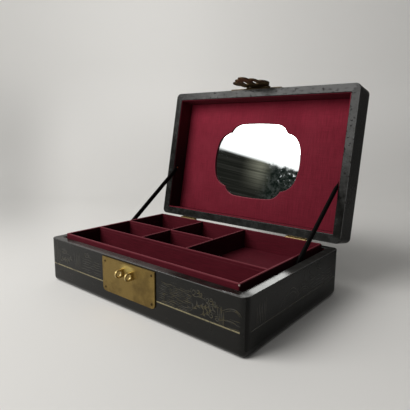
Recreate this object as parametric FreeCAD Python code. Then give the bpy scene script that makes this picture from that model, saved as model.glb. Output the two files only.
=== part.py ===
import FreeCAD, Part
import math
import os

# A hinged lacquered jewelry box: lined base, lift-out tray, mirrored lid and brass hasp.
# Millimetres. Origin at the centre of the underside, +X right, +Y to the back, +Z up.
# The lid is drawn shut, then turned open about its hinge to where it stands at rest.

Vec = FreeCAD.Vector
X_AXIS = Vec(1, 0, 0)
Y_AXIS = Vec(0, 1, 0)
Z_AXIS = Vec(0, 0, 1)
SIDES = ("front", "back", "left", "right")

# Case
box_width = 300.0
box_depth = 195.0
base_height = 56.0
lid_height = 37.1
rim_gap = 0.4  # air between the two rims when the lid is shut
wall = 11.0
board = 7.0  # bottom board and top board
corner_radius = 7.0  # upright corners
edge_radius = 5.5  # bottom edge and top edge
rim_round = 0.7
open_angle = 100.6  # degrees, where the ribbon stays pull tight

# Linings
cloth = 0.9  # cloth on the side walls
cloth_setback = 1.0  # from a rim to the edge of its cloth
floor_cloth = 1.2
ledge = 5.0  # lining boards that carry the tray
lid_pad = 4.8  # padded board under the lid's top board

# Tray of cloth-covered card
tray_height = 27.0
tray_rise = 5.4  # how far the tray stands above the base rim
tray_side_gap = 3.8  # room for the ribbons and their tacks
tray_end_gap = 0.5
card = 2.4  # tray floor and outer walls
divider = 2.0
card_round = 0.85  # wrapped top edges
tray_corner = 1.6
front_cell_depth = 46.8
left_cell_width = 81.2
middle_cell_width = 72.3
small_cell_depth = 49.8

# Mirror, a cusped cartouche
mirror_width = 144.2
mirror_height = 109.2
mirror_glass = 2.0  # stands on its card against the top board, in the window of the padded board
mirror_card = 0.6
mirror_fit = 0.3
mirror_to_hinge = 1.2  # centre of the glass off the lid's centre, towards the hinge
mirror_to_left = 1.7  # and towards the left
cusp_inset_x = 24.7
cusp_inset_z = 13.6
crown_drop = 1.0  # from the crown of the long lobes to their shoulders
crown_shoulder = 18.0  # from a cusp back to that shoulder
flank_drop = 3.2  # the same for the end lobes
flank_shoulder = 18.5

# Brass plates and their nails
plate_width = 83.5
plate_thickness = 1.3
base_plate_setback = 2.0  # from the base rim to the plate's edge
lid_plate_setback = 0.6  # the same on the lid
base_plate_height = 39.4
lid_plate_height = 27.0
plate_corner = 5.0
nail_radius = 0.55
nail_length = 6.0  # in the wood
nail_head_radius = 1.4
nail_head_height = 0.7
nail_inset = 4.6
nail_fit = 0.03

# Two staples on the base plate, which come through the hasp's slots
staple_spacing = 15.4
staple_drop = 14.0  # eye centre below the base rim
staple_width = 2.0
eye_radius = 3.0
eye_wire = 1.4
eye_reach = 6.4  # from the front of the box to the eye's centre
prong_height = 4.0
prong_length = 6.0  # in the wood
prong_fit = 0.05

# Hasp, hinged on the lid plate
hasp_rise = 8.0  # hinge axis above the lid's rim
hasp_reach = 3.5  # hinge axis out from the front of the lid
hasp_thickness = 1.2
hasp_knuckle_radius = 2.0
hasp_knuckle_length = 22.0
hasp_barrel_length = 38.0
hasp_pin_radius = 0.9
slot_side_fit = 1.3
slot_end_fit = 1.2
# Cloud outline of the hasp: half-width and drop of each lobe's centre, and its radius
hasp_tip_lobe = (0.0, 39.0, 7.5)
hasp_side_lobes = ((16.0, 9.0, 6.3), (19.0, 20.0, 9.5), (10.5, 31.5, 7.0))
hasp_waist = 14.0  # half-width of the plain field between the lobes

# Back hinges
hinge_inset = 57.5  # from each end of the box to a hinge's middle
hinge_length = 28.0
hinge_reach = 3.2  # barrel axis behind the back of the box
hinge_barrel_radius = 2.6
hinge_pin_radius = 1.2
hinge_pin_head = 1.9
hinge_pin_head_length = 1.2
hinge_leaf = 1.2
hinge_leaf_height = 24.0
hinge_leaf_corner = 4.0
hinge_knuckles = 5
hinge_nail_spacing = 17.0
pin_fit = 0.05
knuckle_gap = 0.2
leaf_clearance = 0.2  # leaf to the other leaf's knuckles

# Ribbon stays
stay_width = 6.3
stay_thickness = 1.5
stay_end = 3.0  # ribbon past the tack
stay_base_inset = 87.0  # lower tack from the back of the box
stay_base_drop = 9.0  # lower tack under the base rim
stay_lid_inset = 75.4  # upper tack from the back of the lid
stay_lid_depth = 7.0  # upper tack inside the lid's rim
tack_head_radius = 1.5
tack_head_height = 0.4

# Places worked out from the sizes above
half_w = box_width / 2
half_d = box_depth / 2
inner_x = half_w - wall
inner_y = half_d - wall
lid_rim = base_height + rim_gap
lid_top = lid_rim + lid_height
lid_board = lid_top - board
pad_face = lid_board - lid_pad
tray_top = base_height + tray_rise
tray_seat = tray_top - tray_height
tray_x = inner_x - cloth - tray_side_gap
tray_y = inner_y - cloth - tray_end_gap
hinge_x = half_w - hinge_inset
hinge_axis = Vec(0, half_d + hinge_reach, base_height + rim_gap / 2)
leaf_swing = hinge_barrel_radius + leaf_clearance
leaf_start = math.sqrt(max(0, leaf_swing**2 - (hinge_reach - hinge_leaf)**2))  # leaf from the axis
eye_z = base_height - staple_drop
eye_outer = eye_radius + eye_wire
hasp_axis = Vec(0, -half_d - hasp_reach, lid_rim + hasp_rise)


def block(x0, x1, y0, y1, z0, z1):
    return Part.makeBox(x1 - x0, y1 - y0, z1 - z0, Vec(x0, y0, z0))


def rod(start, direction, length, radius):
    return Part.makeCylinder(radius, length, start, direction)


def fused(shapes):
    whole = shapes[0].fuse(list(shapes[1:]))
    return whole.removeSplitter()


def edges_where(shape, test):
    found = []
    for edge in shape.Edges:
        middle = edge.valueAt((edge.FirstParameter + edge.LastParameter) / 2)
        if test(middle, edge):
            found.append(edge)
    return found


def runs_along(edge, axis):
    ends = edge.Vertexes
    if len(ends) < 2:
        return False
    along = (ends[1].Point - ends[0].Point).normalize()
    return abs(along.dot(axis)) > 0.999


def opened(shape):
    """Turn a piece of the shut lid to its open rest position."""
    return shape.rotated(hinge_axis, X_AXIS, -open_angle)


def opened_point(point):
    turn = FreeCAD.Rotation(X_AXIS, -open_angle)
    return hinge_axis + turn.multVec(point - hinge_axis)


def rounded_slab(z0, z1):
    """The box's outline from z0 to z1, with its upright corners rounded."""
    slab = block(-half_w, half_w, -half_d, half_d, z0, z1)
    uprights = edges_where(slab, lambda p, e: runs_along(e, Z_AXIS))
    return slab.makeFillet(corner_radius, uprights)


def case_board(z0, z1, outer_z):
    """Bottom or top board, rounded along its outer face at outer_z."""
    slab = rounded_slab(z0, z1)
    around = edges_where(slab, lambda p, e: abs(p.z - outer_z) < 1e-6)
    return slab.makeFillet(min(edge_radius, board - rim_round, corner_radius - rim_round), around)


def case_walls(z0, z1, rim_z):
    """Four mitred walls from z0 to z1, with the edges of the rim at rim_z eased."""
    ring = rounded_slab(z0, z1).cut(block(-inner_x, inner_x, -inner_y, inner_y, z0, z1))
    ring = ring.makeFillet(rim_round, edges_where(ring, lambda p, e: abs(p.z - rim_z) < 1e-6))
    out_x, out_y = half_w + wall, half_d + wall
    core_x, core_y = half_w - 2 * wall, half_d - 2 * wall
    corners = {
        "front": ((-out_x, -out_y), (out_x, -out_y), (core_x, -core_y), (-core_x, -core_y)),
        "back": ((-out_x, out_y), (out_x, out_y), (core_x, core_y), (-core_x, core_y)),
        "left": ((-out_x, -out_y), (-out_x, out_y), (-core_x, core_y), (-core_x, -core_y)),
        "right": ((out_x, -out_y), (out_x, out_y), (core_x, core_y), (core_x, -core_y)),
    }
    walls = {}
    for side in SIDES:
        outline = [Vec(x, y, z0) for x, y in corners[side]]
        mitre = Part.Face(Part.makePolygon(outline + outline[:1])).extrude(Vec(0, 0, z1 - z0))
        walls[side] = ring.common(mitre).Solids[0]
    return walls


def strips(thickness, z0, z1, trim):
    """Strips along the four inner walls; the side ones stop at the trim of the end ones."""
    return {
        "front": block(-inner_x, inner_x, -inner_y, -inner_y + thickness, z0, z1),
        "back": block(-inner_x, inner_x, inner_y - thickness, inner_y, z0, z1),
        "left": block(-inner_x, -inner_x + thickness, -inner_y + trim, inner_y - trim, z0, z1),
        "right": block(inner_x - thickness, inner_x, -inner_y + trim, inner_y - trim, z0, z1),
    }


def base_linings():
    """Each wall's lining: a board that carries the tray, and cloth from there to the rim."""
    boards = strips(ledge, board + floor_cloth, tray_seat, ledge)
    cloths = strips(cloth, tray_seat, base_height - cloth_setback, cloth)
    return {side: fused([boards[side], cloths[side]]) for side in SIDES}


def wrapped_card(x0, x1, y0, y1, z0, z1, rounding):
    """An upright card with cloth wrapped over its top edge."""
    sheet = block(x0, x1, y0, y1, z0, z1)
    axis = X_AXIS if x1 - x0 > y1 - y0 else Y_AXIS
    tops = edges_where(sheet, lambda p, e: abs(p.z - z1) < 1e-6 and runs_along(e, axis))
    return sheet.makeFillet(rounding, tops)


def tray_pieces():
    floor_top = tray_seat + card
    in_x, in_y = tray_x - card, tray_y - card
    wrap = min(card_round, 0.45 * divider, 0.45 * card)
    long_y = -in_y + front_cell_depth
    rear_y = long_y + divider
    cell_x = -in_x + left_cell_width
    cross_x = cell_x + divider + middle_cell_width
    cell_y = rear_y + small_cell_depth

    def upright(x0, x1, y0, y1):
        return wrapped_card(x0, x1, y0, y1, floor_top, tray_top, wrap)

    def end_wall(y0, y1, outer_y):
        sheet = block(-tray_x, tray_x, y0, y1, floor_top, tray_top)
        corners = edges_where(sheet, lambda p, e: runs_along(e, Z_AXIS) and abs(p.y - outer_y) < 1e-6)
        sheet = sheet.makeFillet(min(tray_corner, 0.8 * card), corners)
        return sheet.makeFillet(wrap, edges_where(sheet, lambda p, e: abs(p.z - tray_top) < 1e-6))

    floor = block(-tray_x, tray_x, -tray_y, tray_y, tray_seat, floor_top)
    uprights = edges_where(floor, lambda p, e: runs_along(e, Z_AXIS))
    return {
        "tray_floor": floor.makeFillet(tray_corner, uprights),
        "tray_front_wall": end_wall(-tray_y, -in_y, -tray_y),
        "tray_back_wall": end_wall(in_y, tray_y, tray_y),
        "tray_left_wall": upright(-tray_x, -in_x, -in_y, in_y),
        "tray_right_wall": upright(in_x, tray_x, -in_y, in_y),
        "tray_long_divider": upright(-in_x, in_x, long_y, rear_y),
        "tray_cell_divider": upright(cell_x, cell_x + divider, rear_y, in_y),
        "tray_cross_divider": upright(cross_x, cross_x + divider, rear_y, in_y),
        "tray_left_shelf_divider": upright(-in_x, cell_x, cell_y, cell_y + divider),
        "tray_middle_shelf_divider": upright(cell_x + divider, cross_x, cell_y, cell_y + divider),
    }


def tangent_arc(start, tangent, end):
    """Arc from start to end that leaves start along tangent, in the XY plane."""
    chord = end - start
    normal = Vec(-tangent.y, tangent.x, 0)
    radius = chord.dot(chord) / (2 * chord.dot(normal))
    centre = start + normal * radius
    middle = ((start + end) * 0.5 - centre).normalize() * abs(radius)
    return Part.Arc(start, centre + middle, end).toShape()


def shoulder_tangent(crown, shoulder):
    """Direction in which the crown's arc reaches its shoulder."""
    chord = shoulder - crown
    along = Vec(1, 0, 0) if abs(chord.x) > abs(chord.y) else Vec(0, 1, 0)
    along = along * (1 if chord.dot(along) > 0 else -1)
    chord.normalize()
    return (chord * (2 * chord.dot(along)) - along).normalize()


def cartouche(grow, z0, z1):
    """The mirror's outline with four cusps, grown by a margin and raised from z0 to z1."""
    w, h = mirror_width / 2 + grow, mirror_height / 2 + grow
    cusp = Vec(w - cusp_inset_x, h - cusp_inset_z, 0)
    top = Vec(cusp.x - crown_shoulder, h - crown_drop, 0)
    side = Vec(w - flank_drop, cusp.y - flank_shoulder, 0)
    crown, flank = Vec(0, h, 0), Vec(w, 0, 0)
    quarter = [
        tangent_arc(crown, Vec(1, 0, 0), top),
        tangent_arc(top, shoulder_tangent(crown, top), cusp),
        tangent_arc(side, shoulder_tangent(flank, side), cusp),
        tangent_arc(flank, Vec(0, 1, 0), side),
    ]
    half = quarter + [edge.mirror(Vec(), Y_AXIS) for edge in quarter]
    edges = half + [edge.mirror(Vec(), X_AXIS) for edge in half]
    outline = Part.Wire(Part.__sortEdges__(edges))
    solid = Part.Face(outline).extrude(Vec(0, 0, z1 - z0))
    return solid.translated(Vec(-mirror_to_left, mirror_to_hinge, z0))


def nail(point, inward, grip):
    """Domed nail whose head sits at point; its shank goes inward through grip, then wood."""
    head = Part.makeSphere(nail_head_radius, point, inward * -1, 0, 90, 360)
    squash = FreeCAD.Matrix()
    squash.scale(Vec(1, nail_head_height / nail_head_radius, 1))
    head = head.translated(point * -1).transformGeometry(squash).translated(point)
    return fused([head, rod(point, inward, grip + nail_length, nail_radius)])


def nail_hole(point, inward, grip):
    return rod(point, inward, grip + nail_length, nail_radius + nail_fit)


def tack(point, outward):
    """Flat tack through a ribbon and the cloth into a side wall; point is on the ribbon."""
    head = rod(point, outward * -1, tack_head_height, tack_head_radius)
    return fused([head, rod(point, outward, tack_grip, nail_radius)])


def lock_plate(z0, z1, round_z):
    """Brass plate on the front, with its two corners at round_z rounded."""
    plate = block(-plate_width / 2, plate_width / 2, -half_d - plate_thickness, -half_d, z0, z1)
    ends = edges_where(plate, lambda p, e: runs_along(e, Y_AXIS) and abs(p.z - round_z) < 1e-6)
    return plate.makeFillet(plate_corner, ends)


def staple(x):
    """Upright brass loop with an eye along X and a prong through the plate into the wall."""
    eye = Vec(x - staple_width / 2, -half_d - eye_reach, eye_z)
    ring = rod(eye, X_AXIS, staple_width, eye_outer)
    shank = block(eye.x, eye.x + staple_width, eye.y, -half_d - plate_thickness,
                  eye_z - eye_outer, eye_z + eye_outer)
    prong = block(eye.x, eye.x + staple_width, -half_d - plate_thickness, -half_d + prong_length,
                  eye_z - prong_height / 2, eye_z + prong_height / 2)
    hole = rod(eye, X_AXIS, staple_width, eye_radius)
    return fused([ring, shank, prong]).cut(hole)


def prong_slot(x):
    return block(x - staple_width / 2 - prong_fit, x + staple_width / 2 + prong_fit,
                 -half_d - plate_thickness, -half_d + prong_length,
                 eye_z - prong_height / 2 - prong_fit, eye_z + prong_height / 2 + prong_fit)


def hasp_knuckle(x0, x1, bore):
    """Knuckle about the hasp's axis from x0 to x1, and the bore through it."""
    start = Vec(x0, hasp_axis.y, hasp_axis.z)
    outer = rod(start, X_AXIS, x1 - x0, hasp_knuckle_radius)
    return outer, rod(start, X_AXIS, x1 - x0, bore)


def hasp_shape():
    """Cloud-shaped leaf with two slots, hung from its knuckle."""
    front = hasp_axis.y - hasp_knuckle_radius
    back = front + hasp_thickness

    def lobe(x, drop, radius):
        return rod(Vec(x, front, hasp_axis.z - drop), Y_AXIS, hasp_thickness, radius)

    def field(half_width, drop0, drop1):
        return block(-half_width, half_width, front, back, hasp_axis.z - drop1, hasp_axis.z - drop0)

    pieces = [lobe(*hasp_tip_lobe)]
    for x, drop, radius in hasp_side_lobes:
        pieces += [lobe(x, drop, radius), lobe(-x, drop, radius)]
    shoulder, wing, tail = hasp_side_lobes
    pieces.append(field(hasp_knuckle_length / 2, 0, tail[1]))
    pieces.append(field(wing[0], shoulder[1], wing[1]))
    pieces.append(field(hasp_waist, shoulder[1], tail[1] - slot_end_fit))
    pieces.append(field(hasp_tip_lobe[2], tail[1] - slot_end_fit, hasp_tip_lobe[1]))
    outer, bore = hasp_knuckle(-hasp_knuckle_length / 2, hasp_knuckle_length / 2,
                               hasp_pin_radius + pin_fit)
    leaf = fused(pieces + [outer]).cut(bore)
    for x in (-staple_spacing / 2, staple_spacing / 2):
        half_slot = staple_width / 2 + slot_side_fit
        leaf = leaf.cut(block(x - half_slot, x + half_slot, front, back,
                              eye_z - eye_outer - slot_end_fit, eye_z + eye_outer + slot_end_fit))
    return leaf


def lid_lock_plate():
    """Lid plate with the two outer knuckles of the hasp's hinge."""
    z0 = lid_rim + lid_plate_setback
    plate = lock_plate(z0, z0 + lid_plate_height, z0 + lid_plate_height)
    inner_end = hasp_knuckle_length / 2 + knuckle_gap
    lug_height = hasp_knuckle_radius * 0.6
    pieces, bores = [plate], []
    for x0, x1 in ((-hasp_barrel_length / 2, -inner_end), (inner_end, hasp_barrel_length / 2)):
        outer, bore = hasp_knuckle(x0, x1, hasp_pin_radius + nail_fit)
        lug = block(x0, x1, hasp_axis.y, -half_d, hasp_axis.z - lug_height, hasp_axis.z + lug_height)
        pieces += [outer, lug]
        bores.append(bore)
    return fused(pieces).cut(bores)


def hinge_leaf_shape(x, upper):
    """One leaf of a back hinge: the upper leaf holds the even knuckles, the lower the odd."""
    away = 1 if upper else -1
    pitch = hinge_length / hinge_knuckles
    leaf_z = hinge_axis.z + away * leaf_start
    far_z = leaf_z + away * hinge_leaf_height
    low, high = sorted((leaf_z, far_z))
    plate = block(x - hinge_length / 2, x + hinge_length / 2, half_d, half_d + hinge_leaf, low, high)
    ends = edges_where(plate, lambda p, e: runs_along(e, Y_AXIS) and abs(p.z - far_z) < 1e-6)
    pieces = [plate.makeFillet(hinge_leaf_corner, ends)]
    knuckle_z = hinge_axis.z + away * (hinge_barrel_radius - hinge_leaf)
    low, high = sorted((knuckle_z, hinge_axis.z + away * hinge_barrel_radius))
    for number in range(1 if upper else 0, hinge_knuckles, 2):
        x0 = x - hinge_length / 2 + number * pitch + knuckle_gap / 2
        x1 = x0 + pitch - knuckle_gap
        barrel = rod(Vec(x0, hinge_axis.y, hinge_axis.z), X_AXIS, x1 - x0, hinge_barrel_radius)
        pieces += [barrel, block(x0, x1, half_d, hinge_axis.y, low, high)]
    start = Vec(x - hinge_length / 2, hinge_axis.y, hinge_axis.z)
    return fused(pieces).cut(rod(start, X_AXIS, hinge_length, hinge_pin_radius + pin_fit))


def hinge_pin(x):
    start = Vec(x - hinge_length / 2 - knuckle_gap / 2, hinge_axis.y, hinge_axis.z)
    length = hinge_length + knuckle_gap
    shank = rod(start, X_AXIS, length, hinge_pin_radius)
    heads = [rod(start, X_AXIS * -1, hinge_pin_head_length, hinge_pin_head),
             rod(start + X_AXIS * length, X_AXIS, hinge_pin_head_length, hinge_pin_head)]
    return fused([shank] + heads)


def hinge_nail_points(upper):
    """Two rows of nails on each leaf, at its outer face."""
    away = 1 if upper else -1
    leaf_z = hinge_axis.z + away * leaf_start
    points = []
    for x in (-hinge_x, hinge_x):
        for side in (-1, 1):
            for rise in (nail_inset, hinge_leaf_height - nail_inset):
                points.append(Vec(x + side * hinge_nail_spacing / 2, half_d + hinge_leaf,
                                  leaf_z + away * rise))
    return points


def plate_nail_points(z_values):
    x = plate_width / 2 - nail_inset
    y = -half_d - plate_thickness
    return [Vec(side * x, y, z) for side in (-1, 1) for z in z_values]


def stay(side, low, high):
    """Taut ribbon on the inner face of one side, from its lower tack to its upper one."""
    run = high - low
    length = run.Length + 2 * stay_end
    ribbon = block(-stay_thickness / 2, stay_thickness / 2, -stay_end, length - stay_end,
                   -stay_width / 2, stay_width / 2)
    ribbon = ribbon.rotated(Vec(), X_AXIS, math.degrees(math.atan2(run.z, run.y)))
    middle = Vec(side * (ribbon_face - stay_thickness / 2), low.y, low.z)
    ribbon = ribbon.translated(middle)
    through = X_AXIS * side
    for point in (low, high):
        start = Vec(side * (ribbon_face - stay_thickness), point.y, point.z)
        ribbon = ribbon.cut(rod(start, through, stay_thickness, nail_radius + nail_fit))
    return ribbon


ribbon_face = inner_x - cloth
tack_grip = stay_thickness + cloth + nail_length
stay_low = Vec(0, half_d - stay_base_inset, base_height - stay_base_drop)
stay_shut = Vec(0, half_d - stay_lid_inset, lid_rim + stay_lid_depth)
stay_high = opened_point(stay_shut)
staple_x = (-staple_spacing / 2, staple_spacing / 2)
base_plate_top = base_height - base_plate_setback
base_plate_bottom = base_plate_top - base_plate_height
lid_plate_top = lid_rim + lid_plate_setback + lid_plate_height
base_nails = plate_nail_points((base_plate_bottom + nail_inset, base_plate_top - nail_inset))
lid_nails = plate_nail_points((lid_rim + lid_plate_setback + nail_inset, lid_plate_top - nail_inset))
base_hinge_nails = hinge_nail_points(False)
lid_hinge_nails = hinge_nail_points(True)


def tack_points(point):
    reach = ribbon_face - stay_thickness
    return {"left": Vec(-reach, point.y, point.z), "right": Vec(reach, point.y, point.z)}


def outward(side):
    return X_AXIS * (1 if side == "right" else -1)


def tack_hole(side, point):
    return rod(tack_points(point)[side], outward(side), tack_grip, nail_radius + nail_fit)


def base_pieces():
    nodes = {"base_bottom_board": case_board(0, board, 0)}
    walls = case_walls(board, base_height, base_height)
    plate = lock_plate(base_plate_bottom, base_plate_top, base_plate_bottom)
    front_holes = [nail_hole(p, Y_AXIS, plate_thickness) for p in base_nails]
    front_holes += [prong_slot(x) for x in staple_x]
    back_holes = [nail_hole(p, Y_AXIS * -1, hinge_leaf) for p in base_hinge_nails]
    linings = base_linings()
    walls["front"] = walls["front"].cut(front_holes)
    walls["back"] = walls["back"].cut(back_holes)
    for side in ("left", "right"):
        walls[side] = walls[side].cut(tack_hole(side, stay_low))
        linings[side] = linings[side].cut(tack_hole(side, stay_low))
    for side in SIDES:
        nodes[f"base_{side}_wall"] = walls[side]
        nodes[f"base_{side}_lining"] = linings[side]
    nodes["base_floor_lining"] = block(-inner_x, inner_x, -inner_y, inner_y, board, board + floor_cloth)
    nodes["base_lock_plate"] = plate.cut(front_holes)
    nodes["base_plate_nails"] = Part.makeCompound([nail(p, Y_AXIS, plate_thickness) for p in base_nails])
    nodes["left_staple"] = staple(staple_x[0])
    nodes["right_staple"] = staple(staple_x[1])
    for name, x in (("left", -hinge_x), ("right", hinge_x)):
        nodes[f"{name}_hinge_base_leaf"] = hinge_leaf_shape(x, False).cut(back_holes)
        nodes[f"{name}_hinge_pin"] = hinge_pin(x)
    nodes["hinge_base_nails"] = Part.makeCompound(
        [nail(p, Y_AXIS * -1, hinge_leaf) for p in base_hinge_nails])
    low_tacks = tack_points(stay_low)
    nodes["stay_base_tacks"] = Part.makeCompound(
        [tack(low_tacks[side], outward(side)) for side in low_tacks])
    nodes["left_stay"] = stay(-1, stay_low, stay_high)
    nodes["right_stay"] = stay(1, stay_low, stay_high)
    return nodes


def shut_lid_pieces():
    nodes = {"lid_top_board": case_board(lid_board, lid_top, lid_top)}
    walls = case_walls(lid_rim, lid_board, lid_rim)
    cloths = strips(cloth, lid_rim + cloth_setback, pad_face, cloth)
    front_holes = [nail_hole(p, Y_AXIS, plate_thickness) for p in lid_nails]
    back_holes = [nail_hole(p, Y_AXIS * -1, hinge_leaf) for p in lid_hinge_nails]
    walls["front"] = walls["front"].cut(front_holes)
    walls["back"] = walls["back"].cut(back_holes)
    for side in ("left", "right"):
        walls[side] = walls[side].cut(tack_hole(side, stay_shut))
        cloths[side] = cloths[side].cut(tack_hole(side, stay_shut))
    for side in SIDES:
        nodes[f"lid_{side}_wall"] = walls[side]
        nodes[f"lid_{side}_lining"] = cloths[side]
    glass_back = lid_board - mirror_card
    glass_face = glass_back - mirror_glass
    pad = block(-inner_x, inner_x, -inner_y, inner_y, pad_face, lid_board)
    nodes["lid_lining_panel"] = pad.cut(cartouche(mirror_fit, pad_face, lid_board))
    nodes["mirror"] = cartouche(0, glass_face, glass_back)
    nodes["mirror_backing"] = cartouche(0, glass_back, lid_board)
    nodes["lid_lock_plate"] = lid_lock_plate().cut(front_holes)
    nodes["lid_plate_nails"] = Part.makeCompound([nail(p, Y_AXIS, plate_thickness) for p in lid_nails])
    for name, x in (("left", -hinge_x), ("right", hinge_x)):
        nodes[f"{name}_hinge_lid_leaf"] = hinge_leaf_shape(x, True).cut(back_holes)
    nodes["hinge_lid_nails"] = Part.makeCompound(
        [nail(p, Y_AXIS * -1, hinge_leaf) for p in lid_hinge_nails])
    high_tacks = tack_points(stay_shut)
    nodes["stay_lid_tacks"] = Part.makeCompound(
        [tack(high_tacks[side], outward(side)) for side in high_tacks])
    pin_start = Vec(-hasp_barrel_length / 2, hasp_axis.y, hasp_axis.z)
    nodes["hasp_pin"] = rod(pin_start, X_AXIS, hasp_barrel_length, hasp_pin_radius)
    nodes["hasp"] = hasp_shape()
    return nodes


nodes = base_pieces()
nodes.update(tray_pieces())
nodes.update({name: opened(shape) for name, shape in shut_lid_pieces().items()})

os.makedirs("parts", exist_ok=True)
for name, shape in nodes.items():
    shape.exportStep(f"parts/{name}.step")

print("nodes", len(nodes))
print("lid hinge axis", hinge_axis)
print("hasp axis", opened_point(hasp_axis))
print("staple eye", -half_d - eye_reach, eye_z)
print("stay from", stay_low, "to", stay_high, "free length", (stay_high - stay_low).Length)
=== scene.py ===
import math
import random

import bmesh
import bpy
from mathutils import Matrix, Vector


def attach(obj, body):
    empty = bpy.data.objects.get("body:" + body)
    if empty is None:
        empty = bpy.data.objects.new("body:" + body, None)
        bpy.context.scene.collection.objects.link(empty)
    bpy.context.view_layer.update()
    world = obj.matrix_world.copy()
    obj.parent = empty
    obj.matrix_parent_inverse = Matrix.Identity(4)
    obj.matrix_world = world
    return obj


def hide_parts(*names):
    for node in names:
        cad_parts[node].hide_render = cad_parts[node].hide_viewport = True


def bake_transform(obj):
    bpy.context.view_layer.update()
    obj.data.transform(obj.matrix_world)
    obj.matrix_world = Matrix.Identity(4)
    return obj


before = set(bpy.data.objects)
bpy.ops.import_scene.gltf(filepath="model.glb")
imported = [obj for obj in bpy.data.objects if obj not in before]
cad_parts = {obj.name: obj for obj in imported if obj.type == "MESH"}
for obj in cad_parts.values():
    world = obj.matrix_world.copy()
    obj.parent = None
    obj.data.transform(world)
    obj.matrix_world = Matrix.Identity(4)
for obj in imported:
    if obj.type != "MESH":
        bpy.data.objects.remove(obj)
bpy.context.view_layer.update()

# A black lacquered jewelry box, standing open: cloth-lined base and tray, mirrored lid, brass hasp.
# Shapes are written in millimetres and turned into metres as meshes are made. Materials measure in metres.

MM = 0.001

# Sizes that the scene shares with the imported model
HALF_W, HALF_D = 150.0, 97.5
BASE_TOP = 56.0
LID_RIM, LID_TOP = 56.4, 93.5
HINGE_Y, HINGE_Z = 100.7, 56.2
OPEN_ANGLE = 100.6
PAD_FACE, LID_BOARD = 81.7, 86.5
LID_INNER_X, LID_INNER_Y = 138.1, 85.6
WINDOW_FIT = 0.3
BASE_INNER_X = 138.1
TRAY_TOP = 61.4
TRAY_X, TRAY_Y = 134.3, 85.1

# Ribbons: the y and z of their tacks with the lid open; flat for a short way from each tack, then fuller
STAY_LOW, STAY_HIGH = (10.5, 47.0), (122.2357, 132.1343)
STAY_WIDTH, STAY_THICKNESS, STAY_END = 6.3, 1.5, 3.0
STAY_FLAT, STAY_FULL, STAY_FULLNESS = 4.0, 14.0, 0.95
STAY_STEPS, STAY_SIDES = 72, 20

# Padded panel: a low crown, rolled edges, and columns of points that fan out from its window to the walls
PAD_CROWN, PAD_CROWN_REACH = 0.55, 9.0
PAD_WINDOW_ROLL, PAD_WALL_ROLL = 0.8, 1.0
# The pale ring round the panel's window, partly rubbed cloth and partly painted highlight: its reach, and
# its least share
PAD_RUB_HIGHLIGHT_REACH, PAD_RUB_HIGHLIGHT_LEAST = 1.2, 0.3
PAD_BACK = LID_BOARD - 0.1
PAD_COLUMNS, PAD_LEAST_TURN = 300, 0.002
PAD_FROM_WINDOW = (0.0, 0.06, 0.18, 0.34, 0.55, 0.8, 1.6, 3.5, 8.0)
PAD_FROM_WALL = (3.2, 1.8, 1.1, 0.7, 0.35, 0.12, 0.0)
PAD_MIDDLE_STEPS, PAD_MIDDLE_END = 7, 6.0

# Weaves: their pitches, and about the way that the ribbons run
RIB_PITCH, THREAD_PITCH, TAPE_PITCH = 1.1, 0.6, 0.8
TAPE_RUN = (0.0, 0.809, 0.588)

# Wear and painted highlight: bands on the tray's edges, measured from its top or sides, and the fade of a
# dull rim
RUBBED_AND_LIT_BAND, RUBBED_AND_LIT_FADE = 1.0, 0.7
HEM_DROP, HEM_INSET, BARE_DROP = 2.9, 0.6, 1.6
DULL_FADE = 10.0

# Gold paint
PAINT_RISE = 0.05
GOLD_LINE_Z = 23.7
GOLD_LINE_END, GOLD_LINE_AT_PLATE, GOLD_LINE_SIDE_END = 144.0, 43.2, 89.0

# Camera at the photograph's place, with its angles in degrees
CAMERA_AT = (326.1635, -364.5071, 192.4855)
CAMERA_AZIMUTH, CAMERA_PITCH, CAMERA_ROLL = 38.9494, 9.3237, 0.6075
CAMERA_SENSOR, CAMERA_LENS = 36.0, 35.9073
CAMERA_SHIFT_X, CAMERA_SHIFT_Y = -0.01228, -0.01796

# Paper sweep behind the box, turned to face the camera
SWEEP_AZIMUTH = 39
SWEEP_NEAR, SWEEP_BEND, SWEEP_RADIUS, SWEEP_TOP, SWEEP_HALF = -2600.0, 620.0, 420.0, 2600.0, 3000.0
SWEEP_STEPS = 12

# Window lamp, with its angles in degrees and its distance and size in metres
LAMP_AZIMUTH, LAMP_HEIGHT, LAMP_DISTANCE = 32, 43, 1.7
LAMP_WIDTH, LAMP_LENGTH, LAMP_WATTS = 1.1, 1.3, 27.0

# Where the room's soft light comes from
LIGHT_FROM = (-0.66, -0.50, 0.56)

scene = bpy.context.scene


def turned(point, degrees):
    """A point in millimetres, turned about the lid's hinge."""
    turn = math.radians(degrees)
    y, z = point[1] - HINGE_Y, point[2] - HINGE_Z
    return (point[0],
            HINGE_Y + y * math.cos(turn) - z * math.sin(turn),
            HINGE_Z + y * math.sin(turn) + z * math.cos(turn))


def opened(point):
    """A point of the shut lid, where it is with the lid standing open."""
    return turned(point, -OPEN_ANGLE)


def mesh_object(name, verts, faces, material, smooth=True):
    """An object from points in millimetres, with its faces turned to look the same way."""
    mesh = bpy.data.meshes.new(name)
    mesh.from_pydata([[c * MM for c in v] for v in verts], [], faces)
    mesh.validate()
    shell = bmesh.new()
    shell.from_mesh(mesh)
    bmesh.ops.recalc_face_normals(shell, faces=shell.faces)
    shell.to_mesh(mesh)
    shell.free()
    mesh.materials.append(material)
    for polygon in mesh.polygons:
        polygon.use_smooth = smooth
    obj = bpy.data.objects.new(name, mesh)
    scene.collection.objects.link(obj)
    return obj


def band_faces(a, b, sides):
    """Faces between two rings of vertices, the one from vertex a on and the other from b on."""
    return [(a + j, a + (j + 1) % sides, b + (j + 1) % sides, b + j) for j in range(sides)]


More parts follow.
